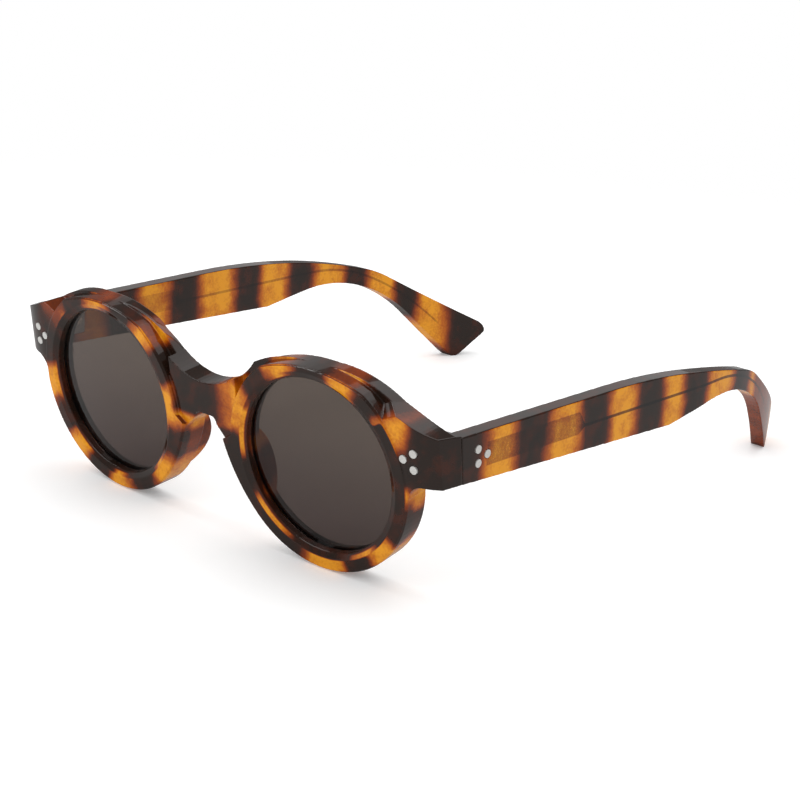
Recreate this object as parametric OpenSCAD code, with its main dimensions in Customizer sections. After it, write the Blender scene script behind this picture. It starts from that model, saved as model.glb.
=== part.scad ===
// Round sunglasses standing open on a table.
// X runs across the face, the wearer's left is +X.
// The front faces -Y, the temples run back to +Y, Z is up from the table.
// Sizes are in millimetres.

/* [Front] */
// Distance of each lens centre from the middle of the bridge
lens_x = 33; // [32.5:0.25:33.5]
// Radius of the lens opening at its narrow lip
opening_r = 20; // [19.5:0.1:20.3]
// Outer radius of the round rim
rim_r = 24.4; // [24:0.1:24.8]
// Height of the rim's flattened top above the lens centre
rim_top = 22.7; // [22.4:0.1:23]
// Thickness of the front from its face to its back
front_t = 6.6; // [6.2:0.1:7]
// Depth of the step that runs round the back of the raised ring
step_d = 3.6; // [3.2:0.1:4]
// Height of the raised ring over the end pieces
ring_proud = 0.3; // [0.2:0.05:0.4]
// Width of the bevel inside the ring's face
bevel_w = 1.5; // [1.2:0.1:1.8]
// Depth of the bevel inside the ring's face
bevel_d = 0.7; // [0.5:0.1:1]
// Angle by which each half of the front wraps back
wrap = 2.9; // [2:0.1:4]
// Forward lean of the front when the frame stands on a table
tilt = 8.75; // [8:0.25:9.5]

/* [Lenses] */
// Radius of the lens in its groove
lens_r = 21; // [20.8:0.1:21.2]
// Thickness of the lens
lens_t = 2; // [1.8:0.1:2.2]
// Depth of the lens edge behind the front face
lens_d = 2.2; // [2:0.1:2.6]
// Radius of the lens's outer curve
lens_curve = 260; // [200:10:400]

/* [Bridge and pads] */
// Lowest point of the bridge's saddle above the lens centres
bridge_top = 11.2; // [10.8:0.1:11.8]
// Radius of the bridge's saddle curve
saddle_r = 17; // [15:1:20]
// Underside of the bridge above the lens centres
bridge_low = 3.6; // [3:0.2:4.2]
// Setback of the bridge's front facet behind the ring's face
bridge_set = 1.1; // [0.8:0.1:1.4]
// Height of the nose pads behind the back of the front
pad_h = 4; // [3.6:0.1:4.4]

/* [End pieces] */
// Top of the end piece's outer corner above the lens centre
end_top = 13.2; // [13:0.1:13.4]
// Underside of the end piece above the lens centre
end_low = 2.6; // [2.4:0.1:2.8]
// Distance of the temple joint behind the front face
joint_y = 8.1; // [8:0.05:8.3]
// Lean of the joint's plane, its top is further forward
joint_lean = 7; // [5:0.5:8]
// Half of the frame's width at the temple joint
side_x = 65.7; // [65.5:0.1:65.9]

/* [Temples] */
// Thickness of the temple
temple_t = 3.8; // [3.6:0.1:4]
// Outward splay of the open temple
splay = 1.6; // [1.2:0.1:2]
// Gap between the end piece and the temple
joint_gap = 0.25; // [0.2:0.05:0.3]
// Radius of the inward curve of the ear piece
ear_curve = 150; // [140:5:170]

/* [Hinges and rivets] */
// Outer radius of the hinge knuckles
knuckle_r = 1.35; // [1.25:0.05:1.4]
// Radius of the hinge screw
screw_r = 0.62; // [0.58:0.01:0.65]
// Radius of each round rivet
rivet_r = 0.9; // [0.8:0.05:1]
// Clearance round a pin that turns
run_fit = 0.05; // [0.04:0.01:0.08]

/* [Hidden] */
$fn = 96;

// Where the lens centres' line lies over the table
front_y = -79.735;
edge = 0.4;
lens_h = rim_r*cos(tilt) - edge*sin(tilt);
ring_r = opening_r + bevel_w;
lens_back = lens_d + lens_t;
snug = 0.02;

// End piece outline
end_x = 33.6;
lug_in = 22.2;
facet_at = [18.7, 15.7];
facet_turn = 25;
facet_lean = 46;
low_r = 3.4;
brow_r = 60;
brow_x = 49.1;
brow_z = end_top + sqrt(brow_r*brow_r - (brow_x - end_x)*(brow_x - end_x));
brow_lean = 23.3;
brow_foot = [brow_x - brow_r*sin(brow_lean), brow_z - brow_r*cos(brow_lean)];
shoulder_x = 4;
shoulder_z = -7.4;
shoulder_r = 30;
shoulder_cut = 1.7;
sweep_u = 24;
sweep_r = 15.3;

// Bridge and the web down the nose side of each ring
bridge_front = bridge_set - rim_r*sin(wrap);
bridge_back = front_t - rim_r*sin(wrap) - 0.1;
arch_x = 1.8;
arch_r = 1.6;
arch_foot = [6.5, -1.3];
bridge_x = 10.5;
bridge_foot = -1;
bridge_block_h = 17;
ring_overlap = 2;
web_k = 15.3;
web_r = rim_r + web_k;
web_c = [0.743*web_k, 0.669*web_k];
web_in = -15;
web_out = -30;
web_low = -16.3;
flat_r = 37.6;

// Nose pads
pad_r = 11;
pad_z = -6.5;

// Hinge pin, from the lens centres' line
pin_x = side_x - temple_t - 2.3;
pin_y = joint_y + joint_gap + 1.65;
hinge_z = 8.6;
knuckle_h = 1.34;
knuckle_gap = 0.05;
pitch = knuckle_h + knuckle_gap;
leaf_t = 0.8;
leaf_h = 7.1;
leaf_x = lens_x + lug_in - 0.2;
leaf_in = side_x - temple_t;
temple_y = joint_y + joint_gap;

// Rivet places
front_rivets = [[23.7, 8.3], [26.2, 10], [26.2, 6.4]];
temple_rivets = [[13.2, 10.1], [13.5, 7], [16.3, 8.5]];

// Temple side outline, from the lens centres' line
t_top = 13.7;
t_low = 3.25;
top_y = 60;
top_r = 260;
bend_y = 121;
bend_r = 40;
bend_a = asin((bend_y - top_y)/top_r);
bend_z = t_top - top_r*(1 - cos(bend_a));
bend_cy = bend_y - bend_r*sin(bend_a);
bend_cz = bend_z - bend_r*cos(bend_a);
ear_a = 30;
kink = [84, 0.4];
under_r = 45;
under_c = [107, -41.7];
under_a = 9.1;
drop_a = 43.5;
tip_low = -lens_h;
tip_y = 154;
end_y = 162.8;
bow_y = 92;
ease = 1.2;

function sweep(u) = ring_proud + pow(max(0, u - sweep_u), 2)/(2*sweep_r);

// Profile drawn with X across and Y up, from depth a to depth b
module slab(a, b) {
  translate([0, b, 0]) rotate([90, 0, 0]) linear_extrude(b - a) children();
}

module both() {
  children();
  mirror([1, 0, 0]) children();
}

module front_place() {
  translate([0, front_y, lens_h]) rotate([tilt, 0, 0]) children();
}

module rim_place() {
  front_place() translate([lens_x, 0, 0]) rotate([0, 0, wrap]) children();
}

module world_place() {
  translate([0, front_y, lens_h]) children();
}

// Ring outline: a circle with a slightly flattened top
module ring_shape(grow) {
  intersection() {
    circle(rim_r + grow);
    translate([0, rim_top + grow - flat_r]) circle(flat_r);
  }
}

// Web that widens the ring down its nose side
module nose_web_shape(grow) {
  intersection() {
    translate(web_c) circle(web_r + grow);
    polygon([[web_in, web_low], [web_out, web_low], [web_out, -2.4], [-24.3, 1.2], [-20, 5],
             [web_in, 5]]);
  }
}

module face_shape(grow) {
  ring_shape(grow);
  nose_web_shape(grow);
}

// Brow and end piece outline: a hollow curve that runs out into a straight slope
module end_shape(inner) {
  polygon(concat(
    [[inner, end_low], [end_x, end_low]],
    arc([brow_x, brow_z], brow_r, 270 - asin((brow_x - end_x)/brow_r), 270 - brow_lean, 10),
    [[inner, brow_foot[1] + (brow_foot[0] - inner)*tan(brow_lean)]]));
}

module shoulder_shape() {
  intersection() {
    translate([shoulder_x, shoulder_z]) circle(shoulder_r);
    translate([2, 4]) square([19.9, 20]);
  }
}

// Concave web where the end piece's underside runs into the rim
module web_shape() {
  difference() {
    translate([20, end_low - low_r]) square([4.6 + low_r, low_r + 0.5]);
    translate([24.6 + low_r, end_low - low_r]) circle(low_r);
  }
}

// Shoulder on the nose side, which draws in towards the back
module nose_shoulder() {
  intersection() {
    translate([-shoulder_x, step_d, shoulder_z]) rotate([-90, 0, 0])
      cylinder(r1 = shoulder_r, r2 = shoulder_r - shoulder_cut, h = front_t - step_d);
    translate([-29, step_d - 1, 4]) cube([27, front_t, 20]);
  }
}

module rim_solid() {
  // raised round ring with its chamfered front edge
  slab(edge, front_t) face_shape(0);
  slab(0, edge) face_shape(-edge*0.6);
  // back plate with the higher brow
  slab(step_d, front_t) shoulder_shape();
  slab(ring_proud + 0.1, front_t) web_shape();
  // end piece and the lug that reaches back to the temple joint
  difference() {
    intersection() {
      rotate([-tilt/2, 0, 0]) slab(-2, 14) end_shape(15);
      translate([0, 0, -10]) linear_extrude(40)
        polygon([[15, front_t], [15, ring_proud], [40, ring_proud],
                 [40, 13], [lug_in, 13], [lug_in, front_t]]);
    }
    // facet that falls back from the ring to the brow's step
    translate([facet_at[0], ring_proud, facet_at[1]]) rotate([0, 0, -facet_turn])
      rotate([-facet_lean, 0, 0]) translate([-20, -20, -20]) cube([40, 20, 40]);
    // the lug's top is level with the temple
    intersection() {
      translate([20, front_t, 0]) cube([20, 10, 40]);
      rotate([-tilt, 0, 0]) translate([18, -5, t_top + 0.1]) cube([25, 30, 20]);
    }
  }
}

// Everything in front of the end piece's swept face
module sweep_cut() {
  difference() {
    translate([sweep_u, -1, -10]) cube([14, 6, 40]);
    translate([sweep_u, sweep_r + ring_proud, -11]) cylinder(r = sweep_r, h = 42, $fn = 128);
  }
}

module lens_cut() {
  // narrow lip
  slab(-1, front_t + 1) circle(opening_r);
  // bevel inside the ring's face
  translate([0, bevel_d, 0]) rotate([90, 0, 0])
    cylinder(r1 = opening_r, r2 = ring_r + bevel_w*0.5, h = bevel_d*1.5);
  // groove for the lens
  slab(lens_d, lens_back) circle(lens_r);
  // relief at the back
  translate([0, front_t + 0.01, 0]) rotate([90, 0, 0])
    cylinder(r1 = opening_r + 0.7, r2 = opening_r, h = 0.7);
}

// Outline of the bridge with its saddle top and arched underside
module bridge_shape() {
  difference() {
    translate([-bridge_x, bridge_foot]) square([2*bridge_x, bridge_block_h]);
    translate([0, bridge_top + saddle_r]) circle(saddle_r);
    polygon(concat(
      [arch_foot],
      arc([arch_x, bridge_low - arch_r], arch_r, 0, 90, 8),
      arc([-arch_x, bridge_low - arch_r], arch_r, 90, 180, 8),
      [[-arch_foot[0], arch_foot[1]]]));
    // room for the round rims' own walls
    for (s = [-1, 1]) translate([s*lens_x, 0]) circle(rim_r - ring_overlap);
  }
}

module bridge() {
  front_place() slab(bridge_front, bridge_back) bridge_shape();
}

// Trims the shoulders to the bridge's saddle
module saddle_cut() {
  front_place() slab(-5, front_t + 5) intersection() {
    translate([0, bridge_top + saddle_r]) circle(saddle_r);
    translate([-15, 5]) square([30, 20]);
  }
}

// Side trim of the end pieces and lugs, upright over the table
module side_cut() {
  world_place() translate([0, 0, -12]) linear_extrude(50)
    polygon([[side_x - 1.7, -6], [side_x - 1.4, 2], [side_x, joint_y], [side_x, 16],
             [side_x + 12, 16], [side_x + 12, -6]]);
}

// Stands a piece in the leaning plane of the temple joint
module joint_place() {
  world_place() translate([0, joint_y, hinge_z]) rotate([joint_lean, 0, 0]) children();
}

module joint_cut() {
  joint_place() translate([50, 0, -25]) cube([30, 20, 50]);
}

// Rivets through the end piece, square to its face
module front_rivet_set(grow) {
  difference() {
    rim_place() for (p = front_rivets)
      translate([p[0], 14, p[1]]) rotate([90, 0, 0])
        cylinder(r = rivet_r + grow, h = 14 - sweep(p[0]) + 0.12);
    joint_cut();
  }
}

module front_leaf_plate() {
  joint_place() translate([leaf_x, -leaf_t, -leaf_h/2]) cube([pin_x + 1.2 - leaf_x, leaf_t, leaf_h]);
}

module front_frame() {
  color([0.62, 0.30, 0.08]) difference() {
    union() {
      both() rim_place() difference() {
        rim_solid();
        sweep_cut();
      }
      difference() {
        both() rim_place() nose_shoulder();
        saddle_cut();
      }
      bridge();
    }
    both() {
      rim_place() lens_cut();
      side_cut();
      joint_cut();
      front_leaf_plate();
      front_rivet_set(snug);
    }
  }
}

module lens() {
  color([0.20, 0.18, 0.17, 0.6]) rim_place() intersection() {
    union() {
      slab(lens_d - 2, lens_back) circle(opening_r - snug);
      slab(lens_d + snug, lens_back - snug) circle(lens_r - snug);
    }
    translate([0, lens_d - 0.86 + lens_curve, 0]) difference() {
      sphere(r = lens_curve, $fn = 200);
      sphere(r = lens_curve - lens_t, $fn = 200);
    }
  }
}

// Nose pad bonded to the back of the rim beside the bridge
module nose_pad() {
  color([0.72, 0.38, 0.10]) rim_place() intersection() {
    slab(front_t, front_t + 8) difference() {
      circle(rim_r);
      circle(opening_r + 1);
      translate([-14, -30]) square([60, 60]);
    }
    translate([-rim_r + 1.6, front_t + pad_h - pad_r, pad_z]) sphere(r = pad_r);
  }
}

// Knuckles number 0 to 4 from the bottom
module knuckle(n, to_front) {
  z = hinge_z - 2.5*pitch + knuckle_gap/2 + n*pitch;
  translate([pin_x, pin_y, z]) cylinder(r = knuckle_r, h = knuckle_h, $fn = 48);
  // its root sinks into the leaf, whose face leans
  root = joint_y - 0.3 - (z + knuckle_h/2 - hinge_z)*tan(joint_lean);
  if (to_front)
    translate([pin_x - knuckle_r, root, z])
      cube([2*knuckle_r - 0.15, pin_y - root, knuckle_h]);
  else
    translate([pin_x, pin_y - 0.9, z]) cube([leaf_in - pin_x + 0.1, 0.9 + knuckle_r, knuckle_h]);
}

module pin_hole(r) {
  translate([pin_x, pin_y, hinge_z - 6]) cylinder(r = r, h = 12, $fn = 48);
}

module front_hinge() {
  color([0.72, 0.72, 0.74]) difference() {
    union() {
      front_leaf_plate();
      world_place() difference() {
        for (n = [0, 2, 4]) knuckle(n, true);
        pin_hole(screw_r + snug);
      }
    }
    front_rivet_set(snug);
  }
}

module front_rivets() {
  color([0.80, 0.80, 0.80]) front_rivet_set(0);
}

module hinge_screw() {
  top = hinge_z + 2.5*pitch;
  color([0.66, 0.66, 0.68]) world_place() translate([pin_x, pin_y, 0]) difference() {
    union() {
      translate([0, 0, hinge_z - 2.5*pitch - 0.35]) cylinder(r = screw_r, h = 5*pitch + 0.4, $fn = 48);
      translate([0, 0, top]) cylinder(r = 1.15, h = 0.55, $fn = 48);
    }
    translate([-2, -0.15, top + 0.25]) cube([4, 0.3, 1]);
  }
}

// Turns the temple pieces out about the hinge pin
module temple_place() {
  world_place() translate([pin_x, pin_y, 0]) rotate([0, 0, -splay])
    translate([-pin_x, -pin_y, 0]) children();
}

// Profile drawn with X along the temple and Y up, from x = a to x = b
module side_slab(a, b) {
  translate([a, 0, 0]) rotate([90, 0, 90]) linear_extrude(b - a) children();
}

// Points along an arc, from angle a to angle b in n steps
function arc(c, r, a, b, n) =
  [for (i = [0:n]) c + r*[cos(a + (b - a)*i/n), sin(a + (b - a)*i/n)]];

// The ear piece's angled tip with its eased corners
tip = [
  [end_y - 1.8, tip_low + 10.5], [end_y - 0.6, tip_low + 9.4], [end_y, tip_low + 8.2],
  [end_y, tip_low + 7.2], [end_y - 0.9, tip_low + 6.2], [tip_y + 2.1, tip_low + 0.9],
  [tip_y + 0.8, tip_low], [tip_y - 0.6, tip_low], [tip_y - 1.9, tip_low + 1.1]
];

// Side outline: flat top, bend over the ear, flared and cut tip, arched underside
module temple_side() {
  polygon(concat(
    [[temple_y + (hinge_z - t_low)*tan(joint_lean), t_low],
     [temple_y + (hinge_z - t_top)*tan(joint_lean), t_top]],
    arc([top_y, t_top - top_r], top_r, 90, 90 - bend_a, 12),
    arc([bend_cy, bend_cz], bend_r, 89.9 - bend_a, 90 - ear_a, 6),
    tip,
    arc(under_c, under_r, 90 - drop_a, 90 + under_a, 16),
    [kink]));
}

// Strip seen from above, between depths a and b from the outer face
module temple_plan(a, b) {
  translate([side_x - b, temple_y - 1]) square([b - a, bow_y - temple_y + 1]);
  intersection() {
    translate([side_x - ear_curve, bow_y]) rotate(180) difference() {
      circle(ear_curve - a, $fn = 300);
      circle(ear_curve - b, $fn = 300);
    }
    translate([0, bow_y]) square([90, 90]);
  }
}

module temple_leaf_plate() {
  translate([leaf_in, temple_y + 0.7, hinge_z - 3.3]) cube([leaf_t, 8.9, 6.6]);
}

module temple_rivet_set(grow, out) {
  for (p = temple_rivets)
    translate([leaf_in, p[0], p[1]]) rotate([0, 90, 0])
      cylinder(r = rivet_r + grow, h = temple_t + out);
}

// Flat blade behind the hinge that narrows to a wire down the ear piece
module wire_side() {
  polygon([[19.4, 6.2], [46, 6.5], [50, 8], [84, 7], [104, 7], [113.6, 5.6], [123.6, 2],
           [133.4, -3.5], [147.6, -12.4], [148.2, -11.4], [134, -2.4], [124, 3.1],
           [114, 6.8], [104, 8.3], [84, 8.3], [50, 9.3], [46, 10.8], [19.4, 11]]);
}

module wire_solid() {
  intersection() {
    side_slab(30, 80) wire_side();
    translate([0, 0, -40]) linear_extrude(80) temple_plan(1.5, 2.5);
  }
}

module temple() {
  color([0.60, 0.28, 0.07]) temple_place() difference() {
    intersection() {
      side_slab(30, 80) temple_side();
      translate([0, 0, -40]) linear_extrude(80) temple_plan(0, temple_t);
    }
    temple_leaf_plate();
    temple_rivet_set(snug, 1);
    wire_solid();
    // eased lower edge, which clears the other temple's ear bend when both are folded
    translate([leaf_in, temple_y - 1, t_low]) rotate([0, 45, 0])
      translate([-ease/2, 0, -ease/2]) cube([ease, 6, ease]);
  }
}

module temple_hinge() {
  color([0.72, 0.72, 0.74]) temple_place() difference() {
    union() {
      temple_leaf_plate();
      for (n = [1, 3]) knuckle(n, false);
    }
    pin_hole(screw_r + run_fit);
    temple_rivet_set(snug, 1);
  }
}

module temple_rivets() {
  color([0.80, 0.80, 0.80]) temple_place() temple_rivet_set(0, 0.12);
}

module core_wire() {
  color([0.55, 0.55, 0.56]) temple_place() wire_solid();
}

module lens_left() { lens(); }
module lens_right() { mirror([1, 0, 0]) lens(); }
module nose_pad_left() { nose_pad(); }
module nose_pad_right() { mirror([1, 0, 0]) nose_pad(); }
module front_hinge_left() { front_hinge(); }
module front_hinge_right() { mirror([1, 0, 0]) front_hinge(); }
module hinge_screw_left() { hinge_screw(); }
module hinge_screw_right() { mirror([1, 0, 0]) hinge_screw(); }
module front_rivets_left() { front_rivets(); }
module front_rivets_right() { mirror([1, 0, 0]) front_rivets(); }
module temple_left() { temple(); }
module temple_right() { mirror([1, 0, 0]) temple(); }
module temple_hinge_left() { temple_hinge(); }
module temple_hinge_right() { mirror([1, 0, 0]) temple_hinge(); }
module temple_rivets_left() { temple_rivets(); }
module temple_rivets_right() { mirror([1, 0, 0]) temple_rivets(); }
module core_wire_left() { core_wire(); }
module core_wire_right() { mirror([1, 0, 0]) core_wire(); }

front_frame();
lens_left();
lens_right();
nose_pad_left();
nose_pad_right();
front_hinge_left();
front_hinge_right();
hinge_screw_left();
hinge_screw_right();
front_rivets_left();
front_rivets_right();
temple_left();
temple_hinge_left();
temple_rivets_left();
core_wire_left();
temple_right();
temple_hinge_right();
temple_rivets_right();
core_wire_right();
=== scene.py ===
"""Looks for a pair of round tortoiseshell sunglasses standing open on a white table."""

import math

import bpy
from mathutils import Matrix, Vector

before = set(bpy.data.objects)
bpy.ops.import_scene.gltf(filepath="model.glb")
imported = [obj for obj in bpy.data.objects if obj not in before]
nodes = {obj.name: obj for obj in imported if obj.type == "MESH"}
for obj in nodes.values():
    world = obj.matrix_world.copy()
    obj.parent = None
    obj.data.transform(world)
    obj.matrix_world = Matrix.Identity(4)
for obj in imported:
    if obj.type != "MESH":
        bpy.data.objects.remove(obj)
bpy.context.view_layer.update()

MM = 0.001
FULL_TURN = 360.0

# ---- Camera, as solved from the photograph, from the middle of the lens centres' line ----

EYE = (269.8, -259.4, 128.7)
EYE_RIGHT = (0.7569, 0.6508, 0.0587)
EYE_UP = (-0.2420, 0.1957, 0.9505)
EYE_FORWARD = (-0.6071, 0.7336, -0.3056)
LENS_MM = 79.74
SENSOR_MM = 36.0
# Nearest and furthest distance that the camera sees, in metres
CLIP_NEAR = 0.01
CLIP_FAR = 20

# ---- The front's own frame ----

# Middle of the lens centres' line in the part's frame
FRONT_Y = -79.735
LENS_Z = 24.055
# Distance of each lens centre from that middle
LENS_X = 33.0
# Forward lean of the front, in degrees
TILT = 8.75

# ---- Tortoiseshell colours, from the darkest band to the clear amber ----

TONES = (
    (0.00, (0.017, 0.009, 0.006)),
    (0.16, (0.045, 0.011, 0.005)),
    (0.38, (0.210, 0.033, 0.004)),
    (0.66, (0.480, 0.118, 0.006)),
    (1.00, (0.770, 0.310, 0.012)),
)
SHELL_ROUGHNESS = 0.08
SHELL_IOR = 1.49

# Noise sizes per millimetre, each with its detail
CLOUD = (0.22, 3.0)
STREAK = (1.6, 4.0)
# Shares of the cloud and the streaks in the amber, and what is there without either
CLOUD_SHARE = 0.9
STREAK_SHARE = 0.5
AMBER_BASE = 0.24
# Above 1 the half tones sink towards the dark
TONE_POWER = 1.3
# Thick parts of the cloud glow a little red inside the dark bands
RED_CLOUD = (0.45, 0.70)
RED_TONE = 0.16
# Upward part of a face's direction at which it starts to count, and counts in full, as a top
TOP_FACE = (0.45, 0.85)
NOISE_MIDDLE = 0.5

# ---- Bands round the rims, in degrees from the temple side over the top ----

RIM_DARK_LEFT = ((5, 22), (42, 58), (82, 102), (124, 146), (175, 256), (287, 306), (330, 350))
RIM_DARK_RIGHT = ((6, 33), (50, 74), (97, 121), (139, 160), (184, 207), (233, 256), (281, 297),
                  (319, 338))
BEVEL_DARK_LEFT = ((-10, 58), (80, 106), (124, 150), (188, 212), (246, 296), (314, 370))
BEVEL_DARK_RIGHT = ((7, 72), (93, 156), (188, 209), (226, 260), (276, 296), (319, 337))
RIM_SOFT = 8.5
# How far the bands wander round a rim, and the size of that noise
RIM_WANDER = 16
RIM_WANDER_SCALE = 0.16
# Whole turns added so that no angle is negative when its fraction is taken
SPARE_TURNS = 2
# A band's dark side softens over no more than this share of its width
INNER_SHARE = 0.35

# ---- Places on the front, in millimetres: where a look starts, and where it is full ----

# The bevel's own bands end at this radius
BEVEL_EDGE = 21.5
BEVEL_BLUR = 0.2
# The bevel's bands run further out beside the left end piece
BESIDE_X = (49, 52)
BESIDE_Z = (-9, -6)
BESIDE_REACH = 2.4
# The change from the right rim's bands to the left one's
MIDDLE_X = (-0.5, 0.5)
# The lip beside each lens is darkened with painted shade, and the top of the front is smoky
LIP_RADIUS = (20.7, 20.3)
LIP_PAINTED_SHADE = 0.30
FRONT_TOP_SHADE = 0.45
# The walls and pads on the nose side are amber above and below, and brown between
NOSE_DEPTH = (0, 2)
NOSE_Z = (2, 0)
NOSE_X = (18, 16)
PAD_UPPER_Z = (-5.5, -1.5)
PAD_LOWER_Z = (-7.5, -12)
PAD_AMBER = 0.9
PAD_BROWN = 0.40
# The upper right end piece is dull brown
DULL_X = (-46, -50)
DULL_Z = (0, 4)
DULL_SHADE = 0.45
# The outer half of each end piece is dark
END_X = (60.5, 56.5)
# The bridge is dark, with an orange end on the left
ORANGE_X = (1.0, 8.0)
ORANGE_TONE = 0.75
BRIDGE_X = (10.5, 8.0)
BRIDGE_Z = (1.0, 3.5)

# ---- Bands along each temple, in millimetres behind the lens centres ----

TEMPLE_DARK_LEFT = ((0, 15), (26.5, 36), (49, 58), (70, 79.5), (90, 98), (114, 123), (130, 154))
TEMPLE_DARK_RIGHT = ((0, 15), (26, 34.5), (46.5, 56), (71, 79.5), (93, 101), (115, 122),
                     (134.5, 139.5), (151, 170))
TEMPLE_SOFT = 4.2
TEMPLE_SPAN = 180.0
TEMPLE_WANDER = 4
TEMPLE_WANDER_SCALE = 0.12
# The ear piece is brown where it isn't amber, and the top edge is dark red all along
EAR_START = (122, 130)
TEMPLE_TOP_SHADE = 0.22

# ---- The core inside each temple, as it shows through ----

CORE_START = (15.5, 16.5)
CORE_END = (149, 147)
CORE_EDGE = (0.12, -0.12)
# Where the flat blade narrows to the wire
BLADE_TO_WIRE = (47, 50)
# Height of the middle line over the lens centres, and half the height of each
BLADE_Z = 8.5
WIRE_Z = 7.6
BLADE_HALF = 2.6
WIRE_HALF = 0.35
# The middle line sinks along a parabola from here down the ear piece
SINK_START = 104
SINK_LENGTH = 95
# The blade is speckled where it shows through, and the wire is dark
SPECKLE = (5.0, 1.0)
SPECKLE_CLOUD = (0.50, 0.70)
BLADE_SHADE = 0.60
SPECKLE_SHARE = 0.38
WIRE_SHADE = 0.26
CORE_TONE = 0.86

# ---- Lenses and metal ----

LENS_GRADE = (-22, 22)
LENS_LOWER = (0.130, 0.091, 0.083)
LENS_UPPER = (0.220, 0.170, 0.140)
LENS_ROUGHNESS = 0.02
LENS_IOR = 1.5
STEEL = (0.62, 0.62, 0.64)
SILVER = (0.80, 0.79, 0.76)
WIRE_GREY = (0.45, 0.44, 0.43)
# The dull spots of worn metal, and how much its roughness varies either way
WORN_SHARE = 0.8
WORN_ROUGHNESS = 0.06
WORN_DETAIL = 3.0

# ---- Table, studio and lights ----

FLOOR_SIZE = 1.2
TABLE_ROUGHNESS = 0.7
TABLE_SPECULAR = 0.1
TABLE_WHITE = 0.95
# The table is duller in reflections, which keeps the polished plastic's colours deep
TABLE_REFLECTED = 0.40
# A little light of its own for the camera alone keeps the table white and its shadow pale
TABLE_GLOW = 0.15
# Distance from the middle, in metres, over which the table fades out into the studio
TABLE_FADE = (0.22, 0.42)
STUDIO_FILL = 0.80
STUDIO_REFLECTED = 0.18
STUDIO_SEEN = 1.0
# Each soft box: its place, what it looks at and its size in millimetres, and its power
LIGHTS = (
    ("top_light", (60, 120, 700), (0, 0, 20), 700, 1.6),
    ("front_light", (-250, -600, 300), (0, -60, 20), 300, 0.8),
    ("back_light", (-465, 562, 330), (0, 0, 20), 500, 0.28),
    ("edge_light", (-420, -150, 560), (0, -60, 20), 240, 0.6),
)

# ---- Eased edges: remesh size in millimetres, then smoothing steps ----

FRONT_EASE = (0.12, 6)
TEMPLE_EASE = (0.16, 5)
PAD_EASE = (0.12, 6)
EASE_FACTOR = 0.5


def emptied(name):
    """A new material and its node tree, emptied."""
    material = bpy.data.materials.new(name)
    material.use_nodes = True
    material.node_tree.nodes.clear()
    return material, material.node_tree


def feed(tree, socket, value):
    """Links an output into a socket, or sets a plain value."""
    if isinstance(value, bpy.types.NodeSocket):
        tree.links.new(value, socket)
    else:
        socket.default_value = value


def calc(tree, operation, first, second=0.0):
    """A maths node's result."""
    made = tree.nodes.new("ShaderNodeMath")
    made.operation = operation
    feed(tree, made.inputs[0], first)
    feed(tree, made.inputs[1], second)
    return made.outputs[0]


def plus(tree, first, second):
    """The sum of two values."""
    return calc(tree, "ADD", first, second)


def minus(tree, first, second):
    """The difference of two values."""
    return calc(tree, "SUBTRACT", first, second)


def times(tree, first, second):
    """The product of two values."""
    return calc(tree, "MULTIPLY", first, second)


def smooth_step(tree, value, start, end):
    """Runs softly from 0 at the start to 1 at the end."""
    made = tree.nodes.new("ShaderNodeMapRange")
    made.interpolation_type = "SMOOTHSTEP"
    feed(tree, made.inputs["Value"], value)
    made.inputs["From Min"].default_value = start
    made.inputs["From Max"].default_value = end
    return made.outputs[0]


def blend(tree, amount, first, second):
    """A plain mix of two values."""
    made = tree.nodes.new("ShaderNodeMix")
    made.data_type = "FLOAT"
    feed(tree, made.inputs[0], amount)
    feed(tree, made.inputs[2], first)
    feed(tree, made.inputs[3], second)
    return made.outputs[0]


def shaded(tree, tone, mask, shade):
    """A tone that is dimmed to a share of itself inside a mask."""
    return times(tree, tone, blend(tree, mask, 1.0, shade))


def noise(tree, coords, scale, detail=2.0):
    """Noise over millimetres, from 0 to 1."""
    made = tree.nodes.new("ShaderNodeTexNoise")
    tree.links.new(coords, made.inputs["Vector"])
    made.inputs["Scale"].default_value = scale
    made.inputs["Detail"].default_value = detail
    return made.outputs[0]


def wander(tree, coords, scale, amount):
    """A slow shift either way that keeps bands from being straight."""
    return times(tree, minus(tree, noise(tree, coords, scale), NOISE_MIDDLE), amount)


def coordinates(tree, lean):
    """Millimetres from the lens centres' middle, along the front's lean or upright."""
    place = tree.nodes.new("ShaderNodeTexCoord")
    turn = tree.nodes.new("ShaderNodeMapping")
    turn.vector_type = "TEXTURE"
    turn.inputs["Location"].default_value = (0, FRONT_Y * MM, LENS_Z * MM)
    turn.inputs["Rotation"].default_value = (math.radians(lean), 0, 0)
    turn.inputs["Scale"].default_value = (MM, MM, MM)
    tree.links.new(place.outputs["Object"], turn.inputs["Vector"])
    split = tree.nodes.new("ShaderNodeSeparateXYZ")
    tree.links.new(turn.outputs[0], split.inputs[0])
    return turn.outputs[0], split.outputs[0], split.outputs[1], split.outputs[2]


def facing_up(tree):
    """Soft mask of the faces that look upwards."""
    place = tree.nodes.new("ShaderNodeTexCoord")
    split = tree.nodes.new("ShaderNodeSeparateXYZ")
    tree.links.new(place.outputs["Normal"], split.inputs[0])
    return smooth_step(tree, split.outputs[2], *TOP_FACE)


def two_tone(tree, amount, low, high):
    """A colour that runs from one to another."""
    made = tree.nodes.new("ShaderNodeValToRGB")
    made.color_ramp.elements[0].color = (*low, 1)
    made.color_ramp.elements[1].color = (*high, 1)
    tree.links.new(amount, made.inputs[0])
    return made.outputs[0]


def show(tree, surface):
    """Makes a shader the surface of its material."""
    out = tree.nodes.new("ShaderNodeOutputMaterial")
    tree.links.new(surface, out.inputs["Surface"])


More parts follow.
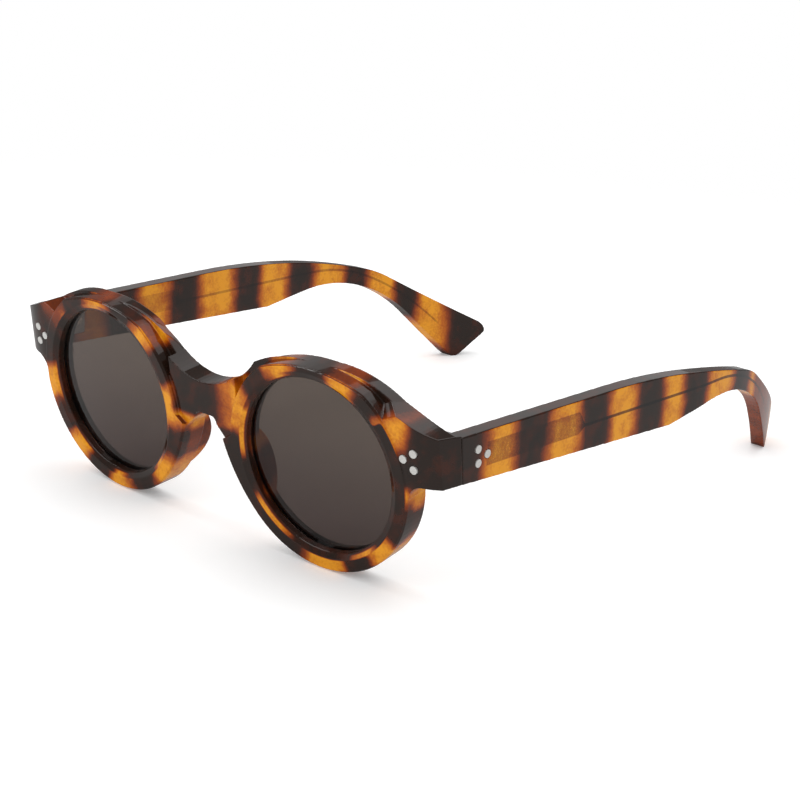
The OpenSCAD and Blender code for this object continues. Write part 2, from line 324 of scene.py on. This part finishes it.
def bands(tree, value, dark, soft, span):
    """Tone of a row of dark bands: 0 inside a band, 1 between bands."""
    made = tree.nodes.new("ShaderNodeValToRGB")
    ramp = made.color_ramp
    ramp.interpolation = "EASE"
    stops = []
    for start, end in dark:
        inner = min(soft, INNER_SHARE * (end - start))
        stops += [(start - soft, 1), (start + inner, 0), (end - inner, 0), (end + soft, 1)]
    before = [(0, tone) for place, tone in stops if place <= 0][-1:]
    after = [(span, tone) for place, tone in stops if place >= span][:1]
    stops = before + [stop for stop in stops if 0 < stop[0] < span] + after
    for place, tone in stops[1:-1]:
        ramp.elements.new(place / span)
    for element, (place, tone) in zip(ramp.elements, stops):
        element.position = place / span
        element.color = (tone, tone, tone, 1)
    tree.links.new(calc(tree, "DIVIDE", value, span), made.inputs[0])
    return made.outputs[0]


def shell_surface(tree, tone, shade=1.0):
    """Polished plastic whose colour follows a tone, dimmed by a shade."""
    made = tree.nodes.new("ShaderNodeValToRGB")
    ramp = made.color_ramp
    for place, color in TONES[1:-1]:
        ramp.elements.new(place)
    for element, (place, color) in zip(ramp.elements, TONES):
        element.position = place
        element.color = (*color, 1)
    feed(tree, made.inputs[0], tone)
    dimmed = tree.nodes.new("ShaderNodeVectorMath")
    dimmed.operation = "SCALE"
    tree.links.new(made.outputs[0], dimmed.inputs[0])
    feed(tree, dimmed.inputs["Scale"], shade)
    shader = tree.nodes.new("ShaderNodeBsdfPrincipled")
    tree.links.new(dimmed.outputs[0], shader.inputs["Base Color"])
    shader.inputs["Roughness"].default_value = SHELL_ROUGHNESS
    shader.inputs["IOR"].default_value = SHELL_IOR
    show(tree, shader.outputs[0])


def cloudy(tree, coords, tone):
    """Uneven depth inside the amber with fine streaks, and a little red inside the dark."""
    cloud = noise(tree, coords, *CLOUD)
    streak = noise(tree, coords, *STREAK)
    uneven = plus(tree, times(tree, cloud, CLOUD_SHARE), times(tree, streak, STREAK_SHARE))
    deep = calc(tree, "POWER", tone, TONE_POWER)
    amber = times(tree, deep, plus(tree, uneven, AMBER_BASE))
    red = times(tree, smooth_step(tree, cloud, *RED_CLOUD), RED_TONE)
    return calc(tree, "MAXIMUM", amber, red)


def around_lens(tree, coords, x, z):
    """Angle round the nearer lens centre, and distance from it."""
    out = minus(tree, calc(tree, "ABSOLUTE", x), LENS_X)
    turns = calc(tree, "DIVIDE", calc(tree, "ARCTAN2", z, out), 2 * math.pi)
    warp = wander(tree, coords, RIM_WANDER_SCALE, RIM_WANDER / FULL_TURN)
    turns = plus(tree, plus(tree, turns, warp), SPARE_TURNS)
    angle = times(tree, calc(tree, "FRACT", turns), FULL_TURN)
    radius = calc(tree, "SQRT", plus(tree, times(tree, out, out), times(tree, z, z)))
    return angle, radius


def ring_tone(tree, x, z, angle, radius):
    """Dark bands round each rim, with a row of their own on the bevel."""
    beside = times(tree, smooth_step(tree, x, *BESIDE_X), smooth_step(tree, z, *BESIDE_Z))
    reach = minus(tree, radius, times(tree, beside, BESIDE_REACH))
    outside = smooth_step(tree, reach, BEVEL_EDGE - BEVEL_BLUR, BEVEL_EDGE + BEVEL_BLUR)
    left = blend(tree, outside, bands(tree, angle, BEVEL_DARK_LEFT, RIM_SOFT, FULL_TURN),
                 bands(tree, angle, RIM_DARK_LEFT, RIM_SOFT, FULL_TURN))
    right = blend(tree, outside, bands(tree, angle, BEVEL_DARK_RIGHT, RIM_SOFT, FULL_TURN),
                  bands(tree, angle, RIM_DARK_RIGHT, RIM_SOFT, FULL_TURN))
    return blend(tree, smooth_step(tree, x, *MIDDLE_X), right, left)


def with_nose_side(tree, tone, sideways, depth, z):
    """Lays the nose walls' and pads' tone over the bands."""
    wall = times(tree, smooth_step(tree, depth, *NOSE_DEPTH), smooth_step(tree, z, *NOSE_Z))
    wall = times(tree, wall, smooth_step(tree, sideways, *NOSE_X))
    pad = calc(tree, "MAXIMUM", smooth_step(tree, z, *PAD_UPPER_Z),
               smooth_step(tree, z, *PAD_LOWER_Z))
    pad = calc(tree, "MAXIMUM", times(tree, pad, PAD_AMBER), PAD_BROWN)
    return blend(tree, wall, tone, pad)


def with_bridge(tree, tone, x, sideways, z):
    """Lays the bridge's tone over the bands."""
    orange = times(tree, smooth_step(tree, x, *ORANGE_X), ORANGE_TONE)
    near = times(tree, smooth_step(tree, sideways, *BRIDGE_X), smooth_step(tree, z, *BRIDGE_Z))
    return blend(tree, near, tone, orange)


def front_shell():
    """Tortoiseshell of the front and the nose pads, banded round each lens."""
    material, tree = emptied("front_shell")
    coords, x, depth, z = coordinates(tree, TILT)
    sideways = calc(tree, "ABSOLUTE", x)
    angle, radius = around_lens(tree, coords, x, z)
    tone = ring_tone(tree, x, z, angle, radius)
    # Painted shade: the lip beside each lens is dimmed to a share of its tone
    tone = shaded(tree, tone, smooth_step(tree, radius, *LIP_RADIUS), LIP_PAINTED_SHADE)
    tone = shaded(tree, tone, facing_up(tree), FRONT_TOP_SHADE)
    tone = with_nose_side(tree, tone, sideways, depth, z)
    dull = times(tree, smooth_step(tree, x, *DULL_X), smooth_step(tree, z, *DULL_Z))
    tone = shaded(tree, tone, dull, DULL_SHADE)
    tone = times(tree, tone, smooth_step(tree, sideways, *END_X))
    tone = with_bridge(tree, tone, x, sideways, z)
    shell_surface(tree, cloudy(tree, coords, tone))
    return material


def core_mask(tree, along, z, thin):
    """Soft mask of the core's blade and wire, seen from the side."""
    past = calc(tree, "MAXIMUM", minus(tree, along, SINK_START), 0)
    sink = calc(tree, "DIVIDE", times(tree, past, past), SINK_LENGTH)
    middle = minus(tree, blend(tree, thin, BLADE_Z, WIRE_Z), sink)
    half = blend(tree, thin, BLADE_HALF, WIRE_HALF)
    off = minus(tree, calc(tree, "ABSOLUTE", minus(tree, z, middle)), half)
    inside = times(tree, smooth_step(tree, off, *CORE_EDGE), smooth_step(tree, along, *CORE_END))
    return times(tree, inside, smooth_step(tree, along, *CORE_START))


def temple_shell(side, dark, core_seen, ear_tone):
    """Tortoiseshell of a temple, with the core blade and wire showing through."""
    material, tree = emptied("temple_shell_" + side)
    coords, _, along, z = coordinates(tree, 0)
    warp = wander(tree, coords, TEMPLE_WANDER_SCALE, TEMPLE_WANDER)
    tone = bands(tree, plus(tree, along, warp), dark, TEMPLE_SOFT, TEMPLE_SPAN)
    thin = smooth_step(tree, along, *BLADE_TO_WIRE)
    inside = times(tree, core_mask(tree, along, z, thin), core_seen)
    speckle = smooth_step(tree, noise(tree, coords, *SPECKLE), *SPECKLE_CLOUD)
    blade = plus(tree, times(tree, speckle, SPECKLE_SHARE), BLADE_SHADE)
    shade = blend(tree, inside, 1.0, blend(tree, thin, blade, WIRE_SHADE))
    tone = shaded(tree, tone, inside, CORE_TONE)
    brown = times(tree, smooth_step(tree, along, *EAR_START), ear_tone)
    tone = calc(tree, "MAXIMUM", tone, brown)
    tone = shaded(tree, tone, facing_up(tree), TEMPLE_TOP_SHADE)
    shell_surface(tree, cloudy(tree, coords, tone), shade)
    return material


def tinted_lens():
    """Dark grey glass, a little lighter towards the top."""
    material, tree = emptied("tinted_lens")
    z = coordinates(tree, TILT)[3]
    shader = tree.nodes.new("ShaderNodeBsdfPrincipled")
    tint = two_tone(tree, smooth_step(tree, z, *LENS_GRADE), LENS_LOWER, LENS_UPPER)
    tree.links.new(tint, shader.inputs["Base Color"])
    shader.inputs["Roughness"].default_value = LENS_ROUGHNESS
    shader.inputs["IOR"].default_value = LENS_IOR
    shader.inputs["Transmission Weight"].default_value = 1.0
    show(tree, shader.outputs[0])
    return material


def worn_metal(name, color, roughness, grain, metallic=1.0):
    """Metal with a fine uneven polish."""
    material, tree = emptied(name)
    coords = coordinates(tree, 0)[0]
    uneven = noise(tree, coords, grain, WORN_DETAIL)
    dull = tuple(WORN_SHARE * part for part in color)
    shader = tree.nodes.new("ShaderNodeBsdfPrincipled")
    tree.links.new(two_tone(tree, uneven, dull, color), shader.inputs["Base Color"])
    polish = blend(tree, uneven, roughness - WORN_ROUGHNESS, roughness + WORN_ROUGHNESS)
    tree.links.new(polish, shader.inputs["Roughness"])
    shader.inputs["Metallic"].default_value = metallic
    show(tree, shader.outputs[0])
    return material


def make_camera():
    """Camera with the photograph's viewing angle."""
    data = bpy.data.cameras.new("camera")
    data.lens = LENS_MM
    data.sensor_width = SENSOR_MM
    data.clip_start = CLIP_NEAR
    data.clip_end = CLIP_FAR
    camera = bpy.data.objects.new("camera", data)
    bpy.context.scene.collection.objects.link(camera)
    right = Vector(EYE_RIGHT)
    up = Vector(EYE_UP)
    forward = Vector(EYE_FORWARD)
    turn = Matrix((right, up, -forward)).transposed().to_4x4()
    place = Vector((EYE[0], EYE[1] + FRONT_Y, EYE[2] + LENS_Z)) * MM
    camera.matrix_world = Matrix.Translation(place) @ turn
    bpy.context.scene.camera = camera


def table_white():
    """White table top that takes the shadow and fades out into the white studio."""
    material, tree = emptied("table_white")
    shader = tree.nodes.new("ShaderNodeBsdfPrincipled")
    shader.inputs["Roughness"].default_value = TABLE_ROUGHNESS
    shader.inputs["Specular IOR Level"].default_value = TABLE_SPECULAR
    path = tree.nodes.new("ShaderNodeLightPath")
    bright = blend(tree, path.outputs["Is Glossy Ray"], TABLE_WHITE, TABLE_REFLECTED)
    tree.links.new(bright, shader.inputs["Base Color"])
    shader.inputs["Emission Color"].default_value = (1, 1, 1, 1)
    glow = times(tree, path.outputs["Is Camera Ray"], TABLE_GLOW)
    tree.links.new(glow, shader.inputs["Emission Strength"])
    place = tree.nodes.new("ShaderNodeTexCoord")
    span = tree.nodes.new("ShaderNodeVectorMath")
    span.operation = "LENGTH"
    tree.links.new(place.outputs["Object"], span.inputs[0])
    clear = tree.nodes.new("ShaderNodeBsdfTransparent")
    mix = tree.nodes.new("ShaderNodeMixShader")
    tree.links.new(smooth_step(tree, span.outputs["Value"], *TABLE_FADE), mix.inputs[0])
    tree.links.new(shader.outputs[0], mix.inputs[1])
    tree.links.new(clear.outputs[0], mix.inputs[2])
    show(tree, mix.outputs[0])
    return material


def make_floor():
    """The table top under the glasses."""
    bpy.ops.mesh.primitive_plane_add(size=FLOOR_SIZE, location=(0, 0, 0))
    floor = bpy.context.object
    floor.name = "floor"
    floor.data.materials.append(table_white())


def make_studio():
    """A white world, dimmer in reflections than to the camera."""
    world = bpy.data.worlds.new("studio")
    bpy.context.scene.world = world
    world.use_nodes = True
    tree = world.node_tree
    tree.nodes.clear()
    path = tree.nodes.new("ShaderNodeLightPath")
    light = tree.nodes.new("ShaderNodeBackground")
    unseen = blend(tree, path.outputs["Is Glossy Ray"], STUDIO_FILL, STUDIO_REFLECTED)
    strength = blend(tree, path.outputs["Is Camera Ray"], unseen, STUDIO_SEEN)
    tree.links.new(strength, light.inputs["Strength"])
    light.inputs["Color"].default_value = (1, 1, 1, 1)
    out = tree.nodes.new("ShaderNodeOutputWorld")
    tree.links.new(light.outputs[0], out.inputs["Surface"])


def area_light(name, place, target, size, power):
    """A square soft box that looks at a point, all in millimetres."""
    data = bpy.data.lights.new(name, "AREA")
    data.size = size * MM
    data.energy = power
    light = bpy.data.objects.new(name, data)
    bpy.context.scene.collection.objects.link(light)
    light.location = Vector(place) * MM
    aim = Vector(target) * MM - light.location
    light.rotation_euler = aim.to_track_quat("-Z", "Y").to_euler()


def round_over(name, voxel, steps):
    """Softens every edge of a CAD node, as polishing does."""
    remesh = nodes[name].modifiers.new("remesh", "REMESH")
    remesh.mode = "VOXEL"
    remesh.voxel_size = voxel * MM
    remesh.use_smooth_shade = True
    smooth = nodes[name].modifiers.new("smooth", "SMOOTH")
    smooth.factor = EASE_FACTOR
    smooth.iterations = steps


def dress():
    """Gives each node its material."""
    steel = worn_metal("hinge_metal", STEEL, 0.30, 2.0)
    silver = worn_metal("rivet_metal", SILVER, 0.40, 3.0, 0.4)
    shell = front_shell()
    looks = {
        "front_frame": shell, "nose_pad": shell, "lens": tinted_lens(),
        "front_hinge": steel, "temple_hinge": steel, "hinge_screw": steel,
        "front_rivets": silver, "temple_rivets": silver,
        "core_wire": worn_metal("wire_metal", WIRE_GREY, 0.45, 4.0),
    }
    temples = {
        "temple_left": temple_shell("left", TEMPLE_DARK_LEFT, core_seen=1.0, ear_tone=0.45),
        "temple_right": temple_shell("right", TEMPLE_DARK_RIGHT, core_seen=0.5, ear_tone=0.0),
    }
    for name, obj in nodes.items():
        stem = name.replace("_left", "").replace("_right", "")
        obj.data.materials.clear()
        obj.data.materials.append(temples.get(name) or looks[stem])


make_camera()
make_floor()
make_studio()
for light in LIGHTS:
    area_light(*light)
dress()
round_over("front_frame", *FRONT_EASE)
for side in ("left", "right"):
    round_over("temple_" + side, *TEMPLE_EASE)
    round_over("nose_pad_" + side, *PAD_EASE)

bpy.context.scene.view_settings.view_transform = "Standard"
